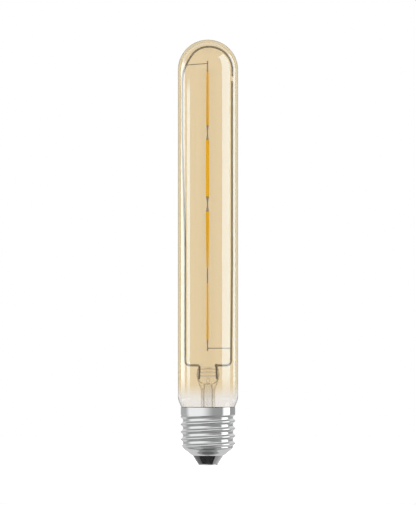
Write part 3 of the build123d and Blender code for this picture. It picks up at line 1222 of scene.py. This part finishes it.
@dataclass
class Filaments:
    """The column of four filaments: metal strips with tabs and pins in phosphor coats."""

    count: int = 4
    offset: float = -0.25 * MM
    width: float = 1.55 * MM
    thickness: float = 0.8 * MM
    corner: float = 0.3 * MM
    corner_segments: int = 4
    cuts: int = 23
    coat_round: float = 0.1 * MM
    foot_angles: tuple[float, ...] = (120.0, 170.0, 95.0, 74.0)
    twists: tuple[float, ...] = (-18.0, 10.0, 75.0, 16.0)
    tab_width: float = 1.4 * MM
    tab_thickness: float = 0.5 * MM
    tab_length: float = 2.2 * MM
    tab_round: float = 0.08 * MM
    pin_radius: float = 0.33 * MM
    pin_sides: int = 14
    lap: float = 0.35 * MM

    def build_tab(self, level: float, angle: float, way: Way) -> Piece:
        """A flat tab that narrows from the coat's end to the pin.

        Args:
            level: the coat's end.
            angle: the strip's turn there, in degrees.
            way: the way that the tab points.

        Returns:
            The tab.
        """
        Bench.clear()
        bpy.ops.mesh.primitive_plane_add(size=1.0, location=(0.0, 0.0, level))
        Bench.edit()
        size = (self.tab_width, self.tab_thickness, 1.0)
        bpy.ops.transform.resize(value=size, center_override=(0.0, 0.0, level))
        narrow = (2.0 * self.pin_radius / self.tab_width, 1.0, 1.0)
        Bench.push(Vector((0.0, 0.0, way.value * self.tab_length)))
        bpy.ops.transform.resize(value=narrow, center_override=(0.0, 0.0, level))
        Bench.cap()
        piece = Bench.tidy("tab")
        turn = Matrix.Rotation(math.radians(angle), 4, "Z")
        piece.data.transform(Matrix.Translation((self.offset, 0.0, 0.0)) @ turn)
        Bench.ease_edges(piece, self.tab_round)
        return piece

    def build_strip(self, index: int) -> None:
        """Models a strip's tabs and pins on both ends of its coat."""
        node = f"filament_strip_{index + 1}"
        low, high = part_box(node)
        foot, top = (corner.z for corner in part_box(f"filament_coat_{index + 1}"))
        angle = self.foot_angles[index]
        parts = [
            self.build_tab(top, angle + self.twists[index], Way.UPWARDS),
            self.build_tab(foot, angle, Way.DOWNWARDS),
        ]
        for way, start, end in ((Way.UPWARDS, top, high.z), (Way.DOWNWARDS, foot, low.z)):
            ends = [Vector((self.offset, way.value * self.lap, level)) for level in (start, end)]
            parts.append(Bench.wire("pin", ends, [], self.pin_radius, self.pin_sides))
        piece = Bench.join(parts, f"strip_ends_{index + 1}")
        Bench.smooth(piece)
        hand_over(piece, STRIP_METAL, "strip_metal", node)

    @staticmethod
    def pick_long_edges(piece: Piece, length: float) -> None:
        """Opens a bar in edit mode with the edges along its length selected."""
        for edge in piece.data.edges:
            first, second = (piece.data.vertices[i].co for i in edge.vertices)
            edge.select = abs(first.z - second.z) > length / 2
        bpy.ops.object.mode_set(mode="EDIT")
        bpy.ops.mesh.select_mode(type="EDGE")

    def build_coat(self, index: int) -> None:
        """Models one coat: a long rounded bar, twisted about its own length."""
        node = f"filament_coat_{index + 1}"
        low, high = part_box(node)
        length = high.z - low.z
        Bench.clear()
        size = (self.width, self.thickness, length)
        bpy.ops.mesh.primitive_cube_add(size=1.0, scale=size)
        bpy.ops.object.transform_apply(location=True, rotation=True, scale=True)
        piece = bpy.context.object
        for item in (*piece.data.vertices, *piece.data.polygons):
            item.select = False
        self.pick_long_edges(piece, length)
        bpy.ops.mesh.bevel(offset=self.corner, segments=self.corner_segments, affect="EDGES")
        bpy.ops.mesh.select_mode(type="VERT")
        bpy.ops.object.mode_set(mode="OBJECT")
        self.pick_long_edges(piece, length)
        bpy.ops.mesh.subdivide(number_cuts=self.cuts)
        bpy.ops.mesh.select_mode(type="VERT")
        Bench.tidy(f"phosphor_coat_{index + 1}")
        twist = math.radians(self.twists[index])
        Bench.modify(piece, "SIMPLE_DEFORM", deform_method="TWIST", deform_axis="Z", angle=twist)
        middle_angle = self.foot_angles[index] + self.twists[index] / 2
        turn = Matrix.Rotation(math.radians(middle_angle), 4, "Z")
        shift = Matrix.Translation((self.offset, 0.0, (low.z + high.z) / 2))
        piece.data.transform(shift @ turn)
        Bench.ease_edges(piece, self.coat_round)
        Bench.smooth(piece)
        hand_over(piece, PHOSPHOR, "phosphor", node)

    def build(self) -> None:
        """Models and dresses the coats and the strips' ends."""
        for index in range(self.count):
            self.build_coat(index)
            self.build_strip(index)


@dataclass
class Driver:
    """The driver inside the cap, whose solids stay and are dressed."""

    leads: tuple[str, ...] = ("left_outer_lead", "right_outer_lead")
    wires: tuple[str, ...] = ("live_wire", "neutral_wire")
    packages: tuple[str, ...] = ("bridge_rectifier", "driver_chip")

    def dress(self) -> None:
        """Dresses the board, the parts on it and the leads."""
        for node in self.leads:
            redress(node, MATT_TIN)
        for node in self.wires:
            redress(node, WIRE_COVER)
        for node in self.packages:
            redress(node, PACKAGE)
        redress("driver_board", BOARD)
        redress("smoothing_capacitor", CAPACITOR_SLEEVE)
        redress("filter_choke", FERRITE)
        redress("fusible_resistor", RESISTOR_BODY)


@dataclass(frozen=True)
class Panel:
    """A light or dark panel of the sky, between two angles and two heights, in degrees."""

    start: float
    end: float
    colour: Colour
    soft_start: float = 1.0
    soft_end: float = 1.0
    low: float = -200.0
    high: float = 200.0
    soft_low: float = 1.0
    soft_high: float = 1.0
    sweep: Sweep = Sweep.ROUND
    rise: Rise = Rise.HEIGHT

    def share(self, graph: Graph, angles: dict[Enum, Signal]) -> Signal:
        """How much of the panel shows in a direction, from 0 to 1."""
        angle = angles[self.sweep]
        height = angles[self.rise]
        left = graph.between(angle, self.start, self.start + self.soft_start)
        right = graph.between(angle, self.end - self.soft_end, self.end)
        foot = graph.between(height, self.low, self.low + self.soft_low)
        head = graph.between(height, self.high - self.soft_high, self.high)
        return left * (1.0 - right) * foot * (1.0 - head)


# Limits past a full turn, for panels that go all the way round
ROUND_START = -200.0
ROUND_END = 200.0
# The colours of the strip lights, and the levels of their feet and of their faint lower parts
COOL = (3.7, 5.4, 6.8, 1.0)
COOL_ARC = (0.9, 1.45, 2.0, 1.0)
PALE_LEFT = (4.4, 5.3, 6.0, 1.0)
PALE_RIGHT = (2.7, 3.8, 4.7, 1.0)
STRIP_FOOT = -1.0
STRIP_FADE = 0.17
LOWER_SHARE = 0.35
LOWER_FOOT = -20.0
LOWER_HEAD = -10.0
LOWER_FADE = 3.0


def strip(start: float, end: float, colour: Colour, high: float, soft_high: float) -> list[Panel]:
    """A tall strip light with a soft foot just below eye level, and its faint lower part.

    Args:
        start: the angle round the lamp where it starts.
        end: the angle where it ends.
        colour: its colour.
        high: the elevation of its top.
        soft_high: how far the top fades.

    Returns:
        The strip's two panels.
    """
    tall = Panel(start, end, colour, low=STRIP_FOOT, high=high, soft_low=STRIP_FADE, soft_high=soft_high)
    faint = tuple(LOWER_SHARE * level for level in colour)
    fades = {"soft_low": LOWER_FADE, "soft_high": LOWER_FADE}
    lower = Panel(start, end, faint, low=LOWER_FOOT, high=LOWER_HEAD, **fades)
    return [tall, lower]


# What polished glass mirrors: strip lights on both sides of a dark room, a pale wall behind it,
# and low panels that the black insulator shows
GLASS_ROOM = grey(0.15)
ON_GLASS = [
    Panel(ROUND_START, ROUND_END, grey(0.9), high=-72.0, soft_high=8.0),
    Panel(ROUND_START, ROUND_END, grey(0.05), low=-72.0, high=-28.0, soft_low=3.0, soft_high=6.0),
    Panel(131.0, 190.0, grey(0.4), soft_start=12.0, sweep=Sweep.AWAY),
    Panel(111.0, 131.0, COOL_ARC, 5.0, 5.0, low=5.0, soft_low=20.0, sweep=Sweep.AWAY),
    *strip(112.0, 130.0, PALE_RIGHT, high=40.0, soft_high=15.0),
    *strip(-128.0, -99.5, PALE_LEFT, high=26.0, soft_high=18.0),
    *strip(55.0, 94.0, COOL, high=47.0, soft_high=1.0),
    *strip(-89.0, -72.5, COOL, high=1.22, soft_high=0.16),
    Panel(87.0, 140.0, grey(1.6), low=-58.0, high=-28.0, soft_high=3.0),
    Panel(137.0, 165.0, grey(1.3), low=-32.0, high=-15.0, soft_high=2.0),
    Panel(-140.0, -96.0, grey(0.55), low=-58.0, high=-28.0, soft_end=10.0, soft_high=3.0),
    Panel(-165.0, -137.0, grey(0.55), low=-32.0, high=-15.0, soft_high=2.0),
]

# What the inner face of the glass mirrors: a white room with a dark flag round the camera
IN_GLASS = [
    Panel(-45.0, 45.0, grey(0.1), 28.0, 28.0, low=-9.0, high=9.0, soft_low=5.0, soft_high=5.0),
]


def band(
    start: float,
    end: float,
    level: float,
    low: float,
    high: float,
    soft: float,
    soft_start: float = 1.0,
    soft_end: float = 1.0,
) -> Panel:
    """A grey panel between two leans of the metal.

    Args:
        start: the angle round the lamp where it starts.
        end: the angle where it ends.
        level: its grey.
        low: the lowest lean.
        high: the highest lean.
        soft: how far it fades at both leans.
        soft_start: how far it fades at its start.
        soft_end: how far it fades at its end.

    Returns:
        The panel.
    """
    return Panel(start, end, grey(level), soft_start, soft_end, low, high, soft, soft, rise=Rise.TILT)


# What metal mirrors: bright at eye level and above, a dark table below, flags and a softbox
METAL_ROOM = grey(1.0)
ON_METAL = [
    band(ROUND_START, ROUND_END, 0.72, 20.0, 120.0, 8.0),
    band(-32.0, 66.0, 1.1, 20.0, 120.0, 6.0, 40.0),
    band(ROUND_START, ROUND_END, 0.55, -120.0, -22.0, 6.0),
    band(ROUND_START, ROUND_END, 0.36, -36.0, -12.0, 6.0),
    band(-40.0, 70.0, 0.18, -120.0, -15.0, 6.0),
    Panel(100.0, ROUND_END, grey(0.3), high=-26.0, soft_high=14.0),
    Panel(ROUND_START, -100.0, grey(0.3), high=-26.0, soft_high=14.0),
    Panel(ROUND_START, ROUND_END, grey(0.14), high=-66.0, soft_high=10.0),
    band(-32.0, 66.0, 0.37, -20.0, 22.0, 6.0, 60.0),
    band(ROUND_START, -82.0, 0.46, -16.0, 26.0, 4.0, 1.0, 30.0),
    band(107.0, ROUND_END, 0.38, -16.0, 24.0, 4.0),
    Panel(130.0, ROUND_END, grey(0.66), low=-62.0, high=-12.0, soft_low=6.0, soft_high=6.0),
    Panel(ROUND_START, -130.0, grey(0.66), low=-62.0, high=-12.0, soft_low=6.0, soft_high=6.0),
    band(71.0, 109.0, 1.6, -26.0, 30.0, 3.0, 5.0, 5.0),
]
# What metal shows of other metal that faces it, as in the thread's grooves
CAVITY = grey(0.4)
WHITE = grey(1.0)


@dataclass
class Studio:
    """Camera, floor, white background, soft lamps and the sky that reflections see."""

    photo_rows: float = 505.0
    photo_scale: float = 0.4835 * MM
    base_row: float = 465.1
    lens: float = 600.0
    sensor: float = 36.0
    clip_share: float = 4.0
    ambient: float = 0.4
    floor_size: float = 1.2
    floor_gap: float = 0.05 * MM
    floor_grey: float = 0.85
    floor_glow: float = 0.5
    lamp_powers: tuple[tuple[Side, float], ...] = ((Side.LEFT, 26.0), (Side.RIGHT, 23.0))
    lamp_reach: float = 1.1
    lamp_height: float = 1.3
    lamp_size: float = 0.9
    lamp_aim: float = 0.1

    def build_camera(self) -> None:
        """Places a long-lens camera square to the lamp, at the photo's scale."""
        middle = (self.base_row - self.photo_rows / 2) * self.photo_scale
        distance = self.photo_rows * self.photo_scale * self.lens / self.sensor
        bpy.ops.object.camera_add(location=(0.0, -distance, middle), rotation=(math.pi / 2, 0.0, 0.0))
        camera = bpy.context.object
        camera.data.lens = self.lens
        camera.data.sensor_width = self.sensor
        camera.data.clip_end = self.clip_share * distance
        bpy.context.scene.camera = camera

    @staticmethod
    def ray(graph: Graph, kind: str) -> Signal:
        """What is known of the ray that asks, such as its kind or its count of bounces."""
        return graph.node("ShaderNodeLightPath", output=kind)

    @staticmethod
    def sky(graph: Graph, base: Colour, panels: list[Panel]) -> Signal:
        """A sky of one colour with panels laid over it.

        Args:
            graph: the world's graph.
            base: the colour where no panel is.
            panels: the panels, the last one on top.

        Returns:
            The sky's colour.
        """
        place = graph.node("ShaderNodeTexCoord", output="Generated")
        across = graph.part(place, "X")
        ahead = 0.0 - graph.part(place, "Y")
        angles = {
            Sweep.ROUND: across.maths("ARCTAN2", across, ahead) * math.degrees(1.0),
            Sweep.AWAY: ahead.maths("ARCCOSINE", ahead, 0.0) * math.degrees(1.0),
        }
        rise = graph.part(place, "Z")
        # A mirror that shows this direction to the front leans half-way towards it
        lean = rise / rise.maths("SQRT", 2.0 * (1.0 + ahead), 0.0)
        angles[Rise.HEIGHT] = rise.maths("ARCSINE", rise, 0.0) * math.degrees(1.0)
        angles[Rise.TILT] = rise.maths("ARCSINE", lean, 0.0) * math.degrees(1.0)
        colour: Source = base
        for panel in panels:
            colour = graph.blend(panel.share(graph, angles), colour, panel.colour)
        return colour

    def build_world(self) -> None:
        """White for the camera and through glass, soft ambient light, and skies for metal and glass."""
        world = bpy.data.worlds.new("studio")
        world.use_nodes = True
        bpy.context.scene.world = world
        graph = Graph(world.node_tree)
        again = graph.between(self.ray(graph, "Glossy Depth"), 1.0, 2.0)
        on_metal = graph.blend(again, self.sky(graph, METAL_ROOM, ON_METAL), CAVITY)
        on_glass = self.sky(graph, GLASS_ROOM, ON_GLASS)
        mirrored = graph.blend(self.ray(graph, "Is Singular Ray"), on_metal, on_glass)
        colour = graph.blend(self.ray(graph, "Is Glossy Ray"), grey(self.ambient), mirrored)
        # A ray that the front wall's inner face mirrored has crossed the glass's surface only twice
        bounced = graph.between(self.ray(graph, "Glossy Depth"), 0.0, 1.0)
        deep = graph.between(self.ray(graph, "Transmission Depth"), 2.0, 3.0)
        inside = self.sky(graph, WHITE, IN_GLASS)
        beyond = graph.blend(bounced * (1.0 - deep), WHITE, inside)
        colour = graph.blend(self.ray(graph, "Is Transmission Ray"), colour, beyond)
        colour = graph.blend(self.ray(graph, "Is Camera Ray"), colour, WHITE)
        spread = graph.between(self.ray(graph, "Diffuse Depth"), 0.0, 1.0)
        colour = graph.blend(spread, colour, grey(self.ambient))
        glow = graph.node("ShaderNodeBackground", {}, {"Color": colour, "Strength": 1.0})
        graph.surface(glow, "ShaderNodeOutputWorld")

    def build_floor(self) -> None:
        """A pale floor under the contact, lit to white around the lamp's soft shadow."""
        Bench.clear()
        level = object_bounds()[0].z - self.floor_gap
        bpy.ops.mesh.primitive_plane_add(size=self.floor_size, location=(0.0, 0.0, level))
        floor = bpy.context.object
        floor.name = "studio_floor"
        made = bpy.data.materials.new("pale_floor")
        made.use_nodes = True
        graph = Graph(made.node_tree)
        values = {
            "Base Color": grey(self.floor_grey),
            "Roughness": 0.9,
            "Specular IOR Level": 0.0,
            "Emission Color": WHITE,
            "Emission Strength": self.floor_glow,
        }
        lit = graph.body(values)
        white = graph.node("ShaderNodeEmission", {}, {"Color": WHITE, "Strength": 1.0})
        through = self.ray(graph, "Is Transmission Ray")
        graph.surface(graph.node("ShaderNodeMixShader", {}, {0: through, 1: lit, 2: white}))
        floor.data.materials.append(made)
        floor.visible_glossy = False
        floor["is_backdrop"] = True

    def build_lamps(self) -> None:
        """Two large soft lamps at a plain level."""
        target = Vector((0.0, 0.0, self.lamp_aim))
        for side, power in self.lamp_powers:
            spot = Vector((self.lamp_reach * side.value, -self.lamp_reach, self.lamp_height))
            aim = (target - spot).to_track_quat("-Z", "Y").to_euler()
            bpy.ops.object.light_add(type="AREA", location=spot, rotation=aim)
            lamp = bpy.context.object
            lamp.name = f"soft_lamp_{side.name.lower()}"
            lamp.data.size = self.lamp_size
            lamp.data.energy = power
            lamp.visible_camera = False
            lamp.visible_glossy = False
            lamp.visible_transmission = False

    def build(self) -> None:
        """Sets up the whole studio."""
        bpy.context.scene.view_settings.view_transform = "Standard"
        self.build_world()
        self.build_floor()
        self.build_lamps()
        self.build_camera()


def main() -> None:
    """Builds the lamp's sub-assemblies in order, then the studio."""
    logging.basicConfig(level=logging.INFO, format="%(name)s: %(message)s")
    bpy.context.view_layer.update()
    GlassBulb().build()
    Stem().build()
    ScrewCap().build()
    Supports().build()
    Filaments().build()
    Driver().dress()
    Studio().build()


if __name__ == "__main__":
    main()
